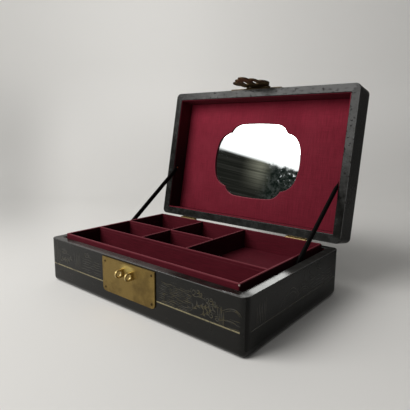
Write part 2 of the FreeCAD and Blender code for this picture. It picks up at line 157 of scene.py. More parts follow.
def tube_faces(rings, sides, first=0):
    """Faces of a closed tube made of rings of vertices, numbered on from its first one."""
    faces = []
    for ring in range(rings - 1):
        start = first + ring * sides
        faces += band_faces(start, start + sides, sides)
    last = first + (rings - 1) * sides
    return faces + [tuple(range(first, first + sides)), tuple(range(last, last + sides))]


class Graph:
    """A node tree and the calls that add nodes to it. Their arguments are sockets or plain values."""

    def __init__(self, tree):
        self.nodes, self.links = tree.nodes, tree.links

    def feed(self, node, sockets):
        for name, value in sockets.items():
            if isinstance(value, bpy.types.NodeSocket):
                self.links.new(value, node.inputs[name])
            else:
                node.inputs[name].default_value = value

    def add(self, kind, sockets, **settings):
        node = self.nodes.new("ShaderNode" + kind)
        for name, value in settings.items():
            setattr(node, name, value)
        self.feed(node, sockets)
        return node

    def math(self, operation, a, b=0.0):
        return self.add("Math", {0: a, 1: b}, operation=operation).outputs[0]

    def plus(self, a, b):
        return self.math("ADD", a, b)

    def minus(self, a, b):
        return self.math("SUBTRACT", a, b)

    def times(self, a, b):
        return self.math("MULTIPLY", a, b)

    def least(self, a, b):
        return self.math("MINIMUM", a, b)

    def most(self, a, b):
        return self.math("MAXIMUM", a, b)

    def size(self, a):
        """A value without its sign."""
        return self.math("ABSOLUTE", a)

    def wave(self, along, pitch):
        """A sine along a measure in metres, whose pitch is in millimetres."""
        return self.math("SINE", self.times(along, 2 * math.pi / (pitch * MM)))

    def between(self, value, low, high, to_low=0.0, to_high=1.0):
        sockets = {"Value": value, "From Min": low, "From Max": high, "To Min": to_low, "To Max": to_high}
        return self.add("MapRange", sockets, interpolation_type="SMOOTHSTEP").outputs["Result"]

    def mix(self, amount, a, b):
        return self.add("Mix", {0: amount, 6: a, 7: b}, data_type="RGBA").outputs[2]

    def choose(self, amount, a, b):
        return self.add("Mix", {0: amount, 2: a, 3: b}, data_type="FLOAT").outputs[0]

    def noise(self, vector, scale, detail=3.0, roughness=0.5):
        sockets = {"Vector": vector, "Scale": scale, "Detail": detail, "Roughness": roughness}
        return self.add("TexNoise", sockets).outputs["Fac"]

    def streaks(self, vector, factors, detail=3.0, roughness=0.5):
        """Noise with its own scale on each axis."""
        stretched = self.add("VectorMath", {0: vector, 1: factors}, operation="MULTIPLY").outputs[0]
        return self.noise(stretched, 1.0, detail, roughness)

    def scaled(self, vector, amount):
        return self.add("VectorMath", {0: vector, "Scale": amount}, operation="SCALE").outputs[0]

    def dot(self, vector, direction):
        return self.add("VectorMath", {0: vector, 1: direction}, operation="DOT_PRODUCT").outputs["Value"]

    def length(self, vector):
        return self.add("VectorMath", {0: vector}, operation="LENGTH").outputs["Value"]

    def joined(self, x, y, z=0.0):
        return self.add("CombineXYZ", {"X": x, "Y": y, "Z": z}).outputs[0]

    def parts(self, vector):
        return self.add("SeparateXYZ", {"Vector": vector}).outputs

    def place(self, on_lid=False):
        """Position in metres; on the lid, where the point lies when the lid is shut."""
        point = self.add("TexCoord", {}).outputs["Object"]
        if not on_lid:
            return point
        turn = Matrix.Rotation(math.radians(OPEN_ANGLE), 3, "X")
        pivot = Vector((0, HINGE_Y, HINGE_Z)) * MM
        sockets = {"Vector": point, "Location": pivot - turn @ pivot,
                   "Rotation": (math.radians(OPEN_ANGLE), 0, 0)}
        return self.add("Mapping", sockets, vector_type="POINT").outputs["Vector"]

    def facing(self, on_lid=False):
        """The surface's normal; on the lid, as it is when the lid is shut."""
        normal = self.add("TexCoord", {}).outputs["Normal"]
        if not on_lid:
            return normal
        sockets = {"Vector": normal, "Rotation": (math.radians(OPEN_ANGLE), 0, 0)}
        return self.add("Mapping", sockets, vector_type="NORMAL").outputs["Vector"]

    def bump(self, height, distance, strength):
        sockets = {"Height": height, "Distance": distance, "Strength": strength}
        return self.add("Bump", sockets).outputs["Normal"]


class Paint(Graph):
    """The graph of one material, with its surface shader."""

    def __init__(self, name, sockets):
        self.material = bpy.data.materials.new(name)
        self.material.use_nodes = True
        super().__init__(self.material.node_tree)
        self.bsdf = self.nodes["Principled BSDF"]
        self.feed(self.bsdf, sockets)

    def finish(self, sockets):
        self.feed(self.bsdf, sockets)
        return self.material


def rgb(red, green, blue):
    return (red, green, blue, 1.0)


def edge_distance(g, x, y, z, bottom, top):
    """How far a point on the outside of a box, from bottom to top, is from the nearest edge."""
    to_side = g.minus(HALF_W * MM, g.size(x))
    to_front = g.minus(HALF_D * MM, g.size(y))
    to_level = g.least(g.minus(z, bottom * MM), g.minus(top * MM, z))
    level_edge = g.least(g.most(to_side, to_level), g.most(to_front, to_level))
    return g.least(level_edge, g.most(to_side, to_front))


def lit_front_rim(g, x, y, rim, mottle, colour):
    """The colour, with painted light greying the base's front rim to both sides of the lock."""
    from_right = g.between(x, 0.075, 0.035, 0.0, 0.85)
    from_left = g.between(x, -0.128, -0.092, 0.0, 0.85)
    rim_light = g.times(g.least(from_right, from_left), g.between(y, -0.080, -0.086))
    rim_light = g.times(rim_light, g.between(mottle, 0.25, 0.6, 0.75, 1.0))
    return g.mix(g.times(rim_light, rim), colour, rgb(0.078, 0.070, 0.067))


def chipped_rim(g, point, rim, mottle, colour, rough):
    """The colour and roughness, with dull patches and dark chips on the lid's rim."""
    chip = g.times(g.between(g.streaks(point, (210.0, 300.0, 1.0), 2.0, 0.6), 0.61, 0.635), rim)
    patch = g.times(rim, g.between(mottle, 0.42, 0.66))
    rough = g.choose(patch, rough, 0.30)
    rough = g.choose(chip, rough, 0.7)
    return g.mix(chip, colour, rgb(0.006, 0.004, 0.004)), rough


def dulled_corner(g, x, y, rim, mottle, rough):
    """The roughness, raised on the rim at the base's front right corner."""
    corner = g.times(g.between(x, 0.120, 0.140), g.between(y, -0.076, -0.090, 0.0, 0.75))
    corner = g.times(corner, g.between(mottle, 0.35, 0.55, 0.3, 1.0))
    return g.choose(g.times(corner, rim), rough, 0.42)


def lacquer(name, on_lid, shine=0.22, dull_behind=None):
    """Aged black lacquer, rubbed thin along the edges; past dull_behind its polished rim is dull."""
    g = Paint(name, {"IOR": 1.5, "Specular IOR Level": shine})
    bottom, top, rim_at = (LID_RIM, LID_TOP, LID_RIM) if on_lid else (0.0, BASE_TOP, BASE_TOP)
    point = g.place(on_lid)
    x, y, z = g.parts(point)
    edge = edge_distance(g, x, y, z, bottom, top)
    rim = g.between(g.size(g.minus(z, rim_at * MM)), 0.0009, 0.0003)
    grit = g.noise(point, 260.0, 5.0, 0.65)
    cloud = g.noise(point, 14.0, 4.0, 0.6)
    mottle = g.noise(point, 95.0, 4.0, 0.7)
    grain = g.streaks(point, (30.0, 420.0, 420.0), 4.0, 0.6)
    scratch = g.between(g.streaks(point, (60.0, 900.0, 500.0), 2.0), 0.69, 0.74)
    speck = g.between(g.noise(point, 700.0, 2.0), 0.70, 0.78)
    frayed = g.plus(edge, g.times(g.minus(grit, 0.5), 0.006))
    worn = g.between(frayed, 0.0012, -0.0009)

    colour = g.mix(cloud, rgb(0.003, 0.003, 0.0028), rgb(0.007, 0.0068, 0.0058))
    colour = g.mix(g.times(grain, 0.35), colour, rgb(0.011, 0.010, 0.008))
    colour = g.mix(g.times(scratch, 0.2), colour, rgb(0.05, 0.047, 0.038))
    colour = g.mix(g.times(speck, 0.3), colour, rgb(0.06, 0.055, 0.042))
    greyed = g.times(rim, g.between(mottle, 0.3, 0.7, 0.05, 0.4))
    colour = g.mix(greyed, colour, rgb(0.030, 0.031, 0.029))
    colour = g.mix(g.times(worn, 0.5), colour, rgb(0.05, 0.040, 0.026))
    # Painted light: the base's front rim is greyed to both sides of the lock.
    if not on_lid:
        colour = lit_front_rim(g, x, y, rim, mottle, colour)
    # Painted highlight: a thin pale line along the rim's outer edge, where its rounding catches the light.
    lip_highlight = g.times(g.between(edge, 0.0013, 0.0004), g.between(grit, 0.3, 0.7, 0.25, 0.75))
    colour = g.mix(g.times(lip_highlight, rim), colour, rgb(0.10, 0.102, 0.104))

    rough = g.between(cloud, 0.3, 0.7, 0.16, 0.28)
    rough = g.choose(rim, rough, g.between(mottle, 0.3, 0.75, 0.13, 0.22))
    rough = g.plus(rough, g.times(worn, 0.25))
    rough = g.plus(rough, g.times(scratch, 0.12))
    if dull_behind:
        dull = g.between(y, (dull_behind - DULL_FADE) * MM, (dull_behind + DULL_FADE) * MM)
        rough = g.choose(g.times(rim, dull), rough, 0.75)
    if on_lid:
        colour, rough = chipped_rim(g, point, rim, mottle, colour, rough)
    else:
        rough = dulled_corner(g, x, y, rim, mottle, rough)

    height = g.plus(g.times(grain, 0.5), g.times(grit, 0.35))
    height = g.minus(height, g.times(worn, 0.6))
    return g.finish({"Base Color": colour, "Roughness": rough, "Normal": g.bump(height, 0.00006, 0.5)})


def rubbed_and_lit_tray(g, colour, point, nx, ny, pale_above):
    """The tray's cloth: pale on its top edges and on the hem below them, partly rubbed and partly painted
    highlight;
    painted shade on its faces turned to the right; bare at one corner.
    """
    x, y, z = g.parts(point)
    rub_and_highlight = g.noise(point, 160.0, 4.0, 0.6)
    # Pale top edges, partly rubbed and partly painted highlight; less of it toward the back, on the shaded
    # far side past the ribbon, and on faces turned to the front.
    worn = g.between(g.plus(z, g.times(rub_and_highlight, 0.0006)), pale_above * MM, (pale_above + RUBBED_AND_LIT_FADE) * MM)
    shaded_far_side = g.times(g.between(x, 0.1285, 0.1315), g.between(y, 0.005, 0.025))
    lit_share = g.least(g.between(y, 0.076, 0.082, 0.36, 0.12), g.between(shaded_far_side, 0.0, 1.0, 0.36, 0.08))
    lit_share = g.times(lit_share, g.between(ny, -0.08, -0.45, 1.0, 0.3))
    colour = g.mix(g.times(worn, lit_share), colour, rgb(0.46, 0.145, 0.17))

    # The hem: a pale line below the top edges, partly rubbed and partly painted highlight.
    from_hem = g.size(g.minus(z, (pale_above - HEM_DROP) * MM))
    inside = g.least(g.math("LESS_THAN", g.size(x), (TRAY_X - HEM_INSET) * MM),
                     g.math("LESS_THAN", g.size(y), (TRAY_Y - HEM_INSET) * MM))
    hem = g.times(g.between(from_hem, 0.0007, 0.0002), g.between(rub_and_highlight, 0.35, 0.65, 0.4, 1.2))
    hem = g.times(hem, g.times(lit_share, 0.75))
    colour = g.mix(g.times(hem, inside), colour, rgb(0.34, 0.10, 0.12))

    # Painted shade: faces turned to the right go nearly black, except on the pale top edges.
    shade = g.times(g.between(nx, 0.5, 0.8, 0.0, 0.7), g.minus(1.0, worn))
    colour = g.mix(shade, colour, rgb(0.012, 0.002, 0.003))
    corner = g.length(g.joined(g.minus(x, TRAY_X * MM), g.plus(y, TRAY_Y * MM),
                               g.minus(z, (TRAY_TOP - BARE_DROP) * MM)))
    bare = g.between(g.plus(corner, g.times(rub_and_highlight, 0.0016)), 0.0023, 0.0017)
    return g.mix(bare, colour, rgb(0.60, 0.47, 0.44))


def cloth(name, depth=1.0, on_lid=False, pale_above=None, rubbed=None, low_shade=False):
    """Crimson ribbed cloth, darker at a depth below 1.

    Its wrapped edges are pale above the height pale_above, partly rubbed and partly painted highlight. On
    the lid's panel, rubbed names the mesh attribute that says where it is pale round its window, partly
    rubbed and partly painted highlight. On the lid, painted light makes it lighter toward the upper left.
    When asked, painted shade darkens it toward the lid's hinge.
    """

    def dye(red, green, blue):
        return rgb(red * depth, green * depth, blue * depth)

    g = Paint(name, {"Sheen Weight": 0.03, "Sheen Roughness": 0.4, "Sheen Tint": rgb(1.0, 0.4, 0.5),
                     "Specular IOR Level": 0.07})
    point = g.place(on_lid)
    x, y, z = g.parts(point)
    nx, ny, nz = g.parts(g.facing(on_lid))
    flat = g.math("GREATER_THAN", g.size(nz), 0.7)
    end = g.math("GREATER_THAN", g.size(nx), 0.7)
    wander = g.noise(point, 90.0, 2.0)
    across = g.plus(g.choose(flat, z, y), g.times(wander, 0.0009))
    along = g.choose(end, x, y)
    rib = g.wave(across, RIB_PITCH)
    thread = g.wave(along, THREAD_PITCH)
    slub = g.noise(g.joined(g.times(along, 45.0), g.times(across, 900.0)), 1.0, 3.0, 0.6)
    if rubbed:
        warp = g.noise(g.joined(g.times(along, 700.0), g.times(across, 40.0)), 1.0, 3.0, 0.6)
        slub = g.choose(0.6, slub, warp)
    fade = g.noise(point, 22.0, 3.0, 0.6)

    colour = g.mix(g.between(slub, 0.3, 0.72), dye(0.105, 0.0080, 0.0160), dye(0.190, 0.0160, 0.032))
    colour = g.mix(g.times(g.between(rib, -1.0, 1.0), 0.35), colour, dye(0.205, 0.0175, 0.035))
    colour = g.mix(g.between(fade, 0.35, 0.75, 0.0, 0.30), colour, dye(0.215, 0.025, 0.042))
    if on_lid:
        # Painted light: the lid's cloth lighter toward its upper left and in a band below its top wall,
        # darker toward its lower right.
        sun = g.minus(g.times(x, -0.6), y)
        sun = g.between(sun, -0.15, 0.15, 0.82, 1.06)
        sun = g.times(sun, g.between(y, -0.035, -0.075, 1.0, 1.28))
        colour = g.scaled(colour, sun)
    # Painted shade: darker toward the lid's hinge.
    if low_shade:
        colour = g.mix(g.between(y, -0.06, 0.02, 0.2, 0.8), colour, rgb(0.009, 0.006, 0.0055))
    if rubbed:
        # Painted highlight with wear: the panel pale round its window, as the mesh attribute gives it.
        worn = g.add("Attribute", {}, attribute_name=rubbed).outputs["Fac"]
        colour = g.mix(g.times(worn, 0.45), colour, rgb(0.42, 0.13, 0.155))
        # Painted shade: the panel's faces turned to the right, as at its window's left side, go nearly
        # black.
        colour = g.mix(g.between(nx, 0.45, 0.75, 0.0, 0.85), colour, rgb(0.006, 0.002, 0.0025))
    if pale_above:
        colour = rubbed_and_lit_tray(g, colour, point, nx, ny, pale_above)

    height = g.plus(g.times(rib, 0.35), g.times(thread, 0.12))
    height = g.plus(height, slub)
    rough = g.between(slub, 0.2, 0.8, 0.72, 0.9)
    return g.finish({"Base Color": colour, "Roughness": rough, "Normal": g.bump(height, 0.00016, 0.6)})


def brass(name, bright, dark, tarnish, on_lid=False, rubbed=None, dull_edge=None):
    """Old brass: bright where it is handled, brown where it is tarnished.

    rubbed is a polished spot: the x and z of its middle, then its half width and half height. dull_edge
    is the way that the flat faces look, so that the cut edges stay dark.
    """
    g = Paint(name, {"Metallic": 1.0})
    point = g.place(on_lid)
    patch = g.noise(point, 55.0, 5.0, 0.62)
    speck = g.between(g.noise(point, 900.0, 3.0), 0.60, 0.75)
    brushed = g.streaks(point, (120.0, 500.0, 2200.0), 3.0, 0.6)
    scratch = g.between(g.streaks(point, (90.0, 700.0, 1500.0), 1.0), 0.66, 0.72)
    grime = g.between(patch, 0.42, 0.70)
    colour = g.mix(g.times(brushed, 0.7), bright, dark)
    colour = g.mix(g.times(grime, 0.65), colour, tarnish)
    colour = g.mix(g.times(speck, 0.6), colour, tarnish)
    if dull_edge:
        level = g.dot(g.facing(), dull_edge)
        side = g.between(g.size(level), 0.85, 0.45, 0.0, 0.9)
        colour = g.mix(side, colour, rgb(0.026, 0.019, 0.011))
    if rubbed:
        x, _, z = g.parts(point)
        off_x = g.math("DIVIDE", g.minus(x, rubbed[0] * MM), rubbed[2] * MM)
        off_z = g.math("DIVIDE", g.minus(z, rubbed[1] * MM), rubbed[3] * MM)
        reach = g.length(g.joined(off_x, off_z))
        reach = g.plus(reach, g.times(g.minus(brushed, 0.5), 0.9))
        polish = g.between(reach, 1.15, 0.35)
        colour = g.mix(g.times(polish, 0.85), colour, rgb(0.60, 0.47, 0.16))
    rough = g.between(patch, 0.3, 0.7, 0.34, 0.52)
    rough = g.minus(rough, g.times(scratch, 0.1))
    height = g.plus(g.times(brushed, 0.3), patch)
    height = g.minus(height, g.times(scratch, 0.5))
    return g.finish({"Base Color": colour, "Roughness": rough, "Normal": g.bump(height, 0.00012, 0.6)})


def gilt(name, colour, thin):
    """Gold paint worn through to the lacquer; thin is the share that has gone."""
    g = Paint(name, {"IOR": 1.5})
    point = g.place()
    bare = g.noise(point, 240.0, 4.0, 0.65)
    tone = g.noise(point, 45.0, 3.0)
    left = g.between(bare, 0.25 + 0.5 * thin, 0.40 + 0.5 * thin)
    dimmed = rgb(*(0.62 * c for c in colour[:3]))
    paint = g.mix(left, rgb(0.024, 0.022, 0.016), g.mix(tone, colour, dimmed))
    return g.finish({"Base Color": paint, "Metallic": g.times(left, 0.55),
                     "Roughness": g.between(left, 0.0, 1.0, 0.35, 0.48),
                     "Normal": g.bump(bare, 0.00004, 0.5)})


def mirror_glass():
    """Silvered glass with a little haze and a few dark specks in its silver."""
    g = Paint("mirror_glass", {"Metallic": 1.0})
    point = g.place(True)
    speck = g.between(g.noise(point, 420.0, 3.0), 0.735, 0.78)
    haze = g.noise(point, 30.0, 4.0, 0.6)
    colour = g.mix(speck, rgb(0.90, 0.92, 0.91), rgb(0.22, 0.20, 0.18))
    rough = g.plus(g.between(haze, 0.45, 0.8, 0.012, 0.045), g.times(speck, 0.3))
    return g.finish({"Base Color": colour, "Roughness": rough})


def ribbon():
    """Black woven tape, ribbed across the way that it runs."""
    g = Paint("ribbon", {"Specular IOR Level": 0.06})
    point = g.place()
    rib = g.wave(g.dot(point, TAPE_RUN), TAPE_PITCH)
    fuzz = g.noise(point, 1200.0, 3.0)
    colour = g.mix(g.between(rib, -1.0, 1.0), rgb(0.0012, 0.001, 0.001), rgb(0.0035, 0.003, 0.0028))
    colour = g.mix(g.times(fuzz, 0.4), colour, rgb(0.006, 0.005, 0.0045))
    height = g.plus(g.times(rib, 0.5), fuzz)
    return g.finish({"Base Color": colour, "Roughness": g.between(fuzz, 0.2, 0.8, 0.7, 0.9),
                     "Normal": g.bump(height, 0.0001, 0.6)})


def backing_card():
    """Plain card with long fibres."""
    g = Paint("backing_card", {})
    fibre = g.streaks(g.place(True), (300.0, 900.0, 900.0), 4.0)
    return g.finish({"Base Color": g.mix(fibre, rgb(0.14, 0.10, 0.06), rgb(0.26, 0.20, 0.13)),
                     "Roughness": g.between(fibre, 0.2, 0.8, 0.75, 0.95)})


base_lacquer = lacquer("base_lacquer", False)
lid_lacquer = lacquer("lid_lacquer", True)
base_end_lacquer = lacquer("base_end_lacquer", False, 0.11, dull_behind=-16.0)
lid_end_lacquer = lacquer("lid_end_lacquer", True, 0.15)

base_cloth = cloth("base_cloth", 0.42)
tray_cloth = cloth("tray_cloth", 0.45, pale_above=TRAY_TOP - RUBBED_AND_LIT_BAND)
lid_cloth = cloth("lid_cloth", on_lid=True)
# Painted shade: darker cloth for the lid's front lining, which faces down, and for its left lining, which
# faces away from the lamp.
lid_shade_cloth = cloth("lid_shade_cloth", 0.42, on_lid=True)
lid_low_shade_cloth = cloth("lid_low_shade_cloth", 0.42, on_lid=True, low_shade=True)
pad_cloth = cloth("pad_cloth", on_lid=True, rubbed="rub_and_highlight")

plate_brass = brass("plate_brass", rgb(0.27, 0.185, 0.058), rgb(0.19, 0.125, 0.035),
                    rgb(0.10, 0.065, 0.022), rubbed=(1.0, 48.0, 12.0, 5.0))
lid_brass = brass("lid_brass", rgb(0.29, 0.200, 0.090), rgb(0.16, 0.110, 0.052), rgb(0.065, 0.046, 0.026),
                  True, dull_edge=Vector(opened((0, -1, 0))) - Vector(opened((0, 0, 0))))
wire_brass = brass("wire_brass", rgb(0.74, 0.57, 0.25), rgb(0.21, 0.15, 0.05), rgb(0.07, 0.048, 0.018))
dark_brass = brass("dark_brass", rgb(0.085, 0.055, 0.020), rgb(0.05, 0.032, 0.012), rgb(0.03, 0.02, 0.009))
nail_brass = brass("nail_brass", rgb(0.30, 0.20, 0.08), rgb(0.20, 0.13, 0.05), rgb(0.10, 0.065, 0.03))
hinge_brass = brass("hinge_brass", rgb(0.19, 0.140, 0.062), rgb(0.11, 0.080, 0.034),
                    rgb(0.05, 0.035, 0.015))

line_gilt = gilt("line_gilt", rgb(0.30, 0.262, 0.15), 0.16)
faint_gilt = gilt("faint_gilt", rgb(0.106, 0.089, 0.044), 0.38)
worn_gilt = gilt("worn_gilt", rgb(0.075, 0.068, 0.042), 0.42)

stay_ribbon = ribbon()


def dress(names, material):
    """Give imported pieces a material."""
    for name in names:
        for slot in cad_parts[name].material_slots:
            slot.material = material


dress(["base_front_wall", "base_back_wall", "base_bottom_board"], base_lacquer)
dress(["base_left_wall", "base_right_wall"], base_end_lacquer)
dress(["lid_front_wall", "lid_back_wall", "lid_top_board"], lid_lacquer)
dress(["lid_left_wall", "lid_right_wall"], lid_end_lacquer)
dress([f"base_{s}_lining" for s in ("front", "back", "left", "right", "floor")], base_cloth)
dress(["lid_back_lining", "lid_right_lining"], lid_cloth)
dress(["lid_front_lining"], lid_shade_cloth)
dress(["lid_left_lining"], lid_low_shade_cloth)
dress([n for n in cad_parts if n.startswith("tray_")], tray_cloth)
dress(["base_lock_plate"], plate_brass)
dress(["left_staple", "right_staple"], wire_brass)
dress(["base_plate_nails"], dark_brass)
dress(["hinge_base_nails", "hinge_lid_nails", "lid_plate_nails"], nail_brass)
dress(["stay_base_tacks", "stay_lid_tacks"], nail_brass)
dress(["lid_lock_plate", "hasp", "hasp_pin"], lid_brass)
dress([f"{s}_hinge_{p}" for s in ("left", "right") for p in ("base_leaf", "lid_leaf", "pin")], hinge_brass)
dress(["mirror"], mirror_glass())
dress(["mirror_backing"], backing_card())


def eased(value, low, high):
    """A smooth rise from 0 at low to 1 at high."""
    share = min(1.0, max(0.0, (value - low) / (high - low)))
    return share * share * (3 - 2 * share)


def squared(value):
    """Sine or cosine of a turn, drawn out so that a round section becomes a squarish one."""
    return math.copysign(abs(value) ** 0.5, value)


def stay(name, side):
    """A taut soft tape from the base to the lid, pressed flat under its tacks and fuller between them."""
    x = side * (BASE_INNER_X - STAY_THICKNESS / 2)
    low, high = Vector((x, *STAY_LOW)), Vector((x, *STAY_HIGH))
    run = (high - low).normalized()
    width = Vector((1, 0, 0)).cross(run)
    total = (high - low).length
    line, verts = [], []
    for step in range(STAY_STEPS + 1):
        along = -STAY_END + (total + 2 * STAY_END) * step / STAY_STEPS
        full = eased(along, STAY_FLAT, STAY_FULL) * eased(total - along, STAY_FLAT, STAY_FULL)
        thick = STAY_THICKNESS / 2 + STAY_FULLNESS * full
        point = low + run * along
        point.x = side * (BASE_INNER_X - thick)
        line.append(point)
        for i in range(STAY_SIDES):
            turn = 2 * math.pi * i / STAY_SIDES
            w = squared(math.cos(turn)) * STAY_WIDTH / 2
            t = squared(math.sin(turn)) * thick
            verts.append(point + width * w + Vector((t, 0, 0)))
    obj = mesh_object(name, verts, tube_faces(len(line), STAY_SIDES), stay_ribbon)
    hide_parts(name.replace("_ribbon", "_stay"))
    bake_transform(obj)


stay("left_ribbon", -1)
stay("right_ribbon", 1)


def mirror_outline():
    """The glass's cusped outline in the shut lid: its centre, and (angle, radius) all round."""
    found = set()
    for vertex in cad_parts["mirror"].data.vertices:
        x, y, _ = turned(vertex.co / MM, OPEN_ANGLE)
        found.add((round(x, 3), round(y, 3)))
    middle = [(min(p[i] for p in found) + max(p[i] for p in found)) / 2 for i in (0, 1)]
    polar = sorted((math.atan2(y - middle[1], x - middle[0]), math.hypot(x - middle[0], y - middle[1]))
                   for x, y in found)
    rim = [p for i, p in enumerate(polar) if i == 0 or p[0] - polar[i - 1][0] > 1e-4]
    return middle, rim


def rolled(distance, radius):
    """How far a rolled edge has dropped, at a distance from its end."""
    return radius - math.sqrt(radius**2 - (radius - distance)**2) if distance < radius else 0.0


def pad_angles(mid_x, mid_y, rim):
    """Angles of the panel's columns: evenly all round, at the glass's own points and at the corners."""
    angles = [2 * math.pi * i / PAD_COLUMNS - math.pi for i in range(PAD_COLUMNS)]
    for x in (-LID_INNER_X, LID_INNER_X):
        angles += [math.atan2(y - mid_y, x - mid_x) for y in (-LID_INNER_Y, LID_INNER_Y)]
    angles = sorted(set(angles + [a for a, r in rim]))
    angles = [a for i, a in enumerate(angles) if i == 0 or a - angles[i - 1] > PAD_LEAST_TURN]
    if angles[0] + 2 * math.pi - angles[-1] < PAD_LEAST_TURN:
        angles.pop()
    return angles


def window_radius(rim, angle):
    """Radius of the panel's window at an angle, a little outside the glass."""
    if angle < rim[0][0]:
        angle += 2 * math.pi
    for (a0, r0), (a1, r1) in zip(rim, rim[1:] + [(rim[0][0] + 2 * math.pi, rim[0][1])]):
        if a0 <= angle <= a1:
            return r0 + (r1 - r0) * (angle - a0) / (a1 - a0) + WINDOW_FIT


def wall_radius(mid_x, mid_y, angle):
    """Distance from the glass's middle to the linings of the lid's walls at an angle."""
    c, s = math.cos(angle), math.sin(angle)
    reach_x = LID_INNER_X - math.copysign(1, c) * mid_x
    reach_y = LID_INNER_Y - math.copysign(1, s) * mid_y
    return min(reach_x / max(abs(c), 1e-6), reach_y / max(abs(s), 1e-6))


def pad_column(r0, r1, angle):
    """Radius, height and rub of the points from the window at r0 to the wall at r1, with the back's ends.

    The cloth is pale round the window, partly rubbed and partly painted highlight, and most on its side
    toward the hinge.
    """
    span = r1 - r0
    start = PAD_FROM_WINDOW[-1]
    stretch = (span - start - PAD_MIDDLE_END) / PAD_MIDDLE_STEPS
    reach = list(PAD_FROM_WINDOW) + [start + stretch * k for k in range(1, PAD_MIDDLE_STEPS + 1)]
    reach += [span - d for d in PAD_FROM_WALL]
    rub_highlight_weight = PAD_RUB_HIGHLIGHT_LEAST + (1 - PAD_RUB_HIGHLIGHT_LEAST) * max(0.0, math.sin(angle))
    column = [(r0, PAD_BACK, 0.0)]
    for d in reach:
        to_wall = span - d
        crown = PAD_CROWN * (1 - math.exp(-min(d, to_wall) / PAD_CROWN_REACH))
        drop = rolled(d, PAD_WINDOW_ROLL) + rolled(to_wall, PAD_WALL_ROLL)
        # How pale the cloth is here: partly rubbed and partly painted highlight.
        worn = max(0.0, 1 - d / PAD_RUB_HIGHLIGHT_REACH) * rub_highlight_weight
        column.append((r0 + d, PAD_FACE + drop - crown, worn))
    return column + [(r1, PAD_BACK, 0.0)]


def lid_pad():
    """The lid's cloth-covered padded panel: softly crowned, rolled over at its window and at the walls."""
    (mid_x, mid_y), rim = mirror_outline()
    angles = pad_angles(mid_x, mid_y, rim)
    columns = [pad_column(window_radius(rim, a), wall_radius(mid_x, mid_y, a), a) for a in angles]
    verts, rub_and_highlight = [], []
    for angle, column in zip(angles, columns):
        c, s = math.cos(angle), math.sin(angle)
        for r, z, worn in column:
            verts.append(opened((mid_x + r * c, mid_y + r * s, z)))
            rub_and_highlight.append(worn)
    count, rows = len(columns), len(columns[0])
    faces = []
    for i in range(count):
        faces += band_faces(i * rows, (i + 1) % count * rows, rows)
    obj = mesh_object("lid_pad", verts, faces, pad_cloth)
    attribute = obj.data.attributes.new("rub_and_highlight", "FLOAT", "POINT")
    for i, value in enumerate(rub_and_highlight):
        attribute.data[i].value = value
    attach(obj, "lid")
    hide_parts("lid_lining_panel")


lid_pad()


class Strokes:
    """Brush strokes on a flat face: raised ribbons of paint, gathered into one mesh."""

    def __init__(self, origin, across, up, out):
        self.origin, self.across, self.up, self.out = (Vector(v) for v in (origin, across, up, out))
        self.verts, self.faces = [], []

    def stroke(self, points, width, taper=True):
        points = [Vector((*p, 0.0)) for p in points]
        start, last = len(self.verts), len(points) - 1
        low, high = -PAINT_RISE, PAINT_RISE
        for i, point in enumerate(points):
            run = (points[min(i + 1, last)] - points[max(i - 1, 0)]).normalized()
            side = Vector((-run.y, run.x, 0.0))
            half = width / 2 * ((0.35 + 0.65 * math.sin(math.pi * i / last)) if taper else 1.0)
            crest = 0.75 * half
            for w, h in ((-half, low), (-crest, high), (crest, high), (half, low)):
                at = point + side * w
                self.verts.append(self.origin + self.across * at.x + self.up * at.y + self.out * h)
        self.faces += tube_faces(len(points), 4, start)

    def curl(self, x, y, radius, turns, width, start=0.0, hand=1):
        steps = max(10, int(18 * turns))
        points = []
        for i in range(steps + 1):
            share = i / steps
            angle = start + hand * 2 * math.pi * turns * share
            r = radius * (1 - 0.82 * share)
            points.append((x + r * math.cos(angle), y + r * math.sin(angle)))
        self.stroke(points, width)

    def ripple(self, x0, x1, y, swell, width, phase=0.0):
        steps = max(6, int(abs(x1 - x0) / 1.5))
        points = []
        for i in range(steps + 1):
            x = x0 + (x1 - x0) * i / steps
            points.append((x, y + swell * math.sin(phase + 0.55 * x)))
        self.stroke(points, width)

    def arch(self, x0, x1, y, rise, width, lean=0.0):
        steps = 16
        points = []
        for i in range(steps + 1):
            share = i / steps
            bow = math.sin(math.pi * share) ** 0.8
            points.append((x0 + (x1 - x0) * share + lean * bow, y + rise * bow))
        self.stroke(points, width)

    def piece(self, name, material, body):
        obj = mesh_object(name, self.verts, self.faces, material, smooth=False)
        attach(obj, body)


def flowing(knots, steps=7):
    """Points along a smooth line through the knots."""
    ends = [knots[0]] + list(knots) + [knots[-1]]
    points = []
    for p0, p1, p2, p3 in zip(ends, ends[1:], ends[2:], ends[3:]):
        for i in range(steps):
            t = i / steps
            points.append(tuple(0.5 * (2 * b + (c - a) * t + (2 * a - 5 * b + 4 * c - d) * t * t
                                       + (3 * b - a - 3 * c + d) * t ** 3)
                                for a, b, c, d in zip(p0, p1, p2, p3)))
    return points + [tuple(knots[-1])]


def water(art, chance, x0, x1, y0, y1, rows, width):
    """Broken lines of ripples over a patch of still water."""
    for row in range(rows):
        y = y0 + (y1 - y0) * (row + chance.uniform(-0.25, 0.25)) / max(1, rows - 1)
        at = x0 + chance.uniform(0.0, 7.0)
        while at < x1 - 4.0:
            run = min(chance.uniform(7.0, 22.0), x1 - at)
            art.ripple(at, at + run, y, chance.uniform(0.15, 0.45), width * chance.uniform(0.7, 1.2),
                       chance.uniform(0.0, 6.0))
            at += run + chance.uniform(1.5, 5.0)


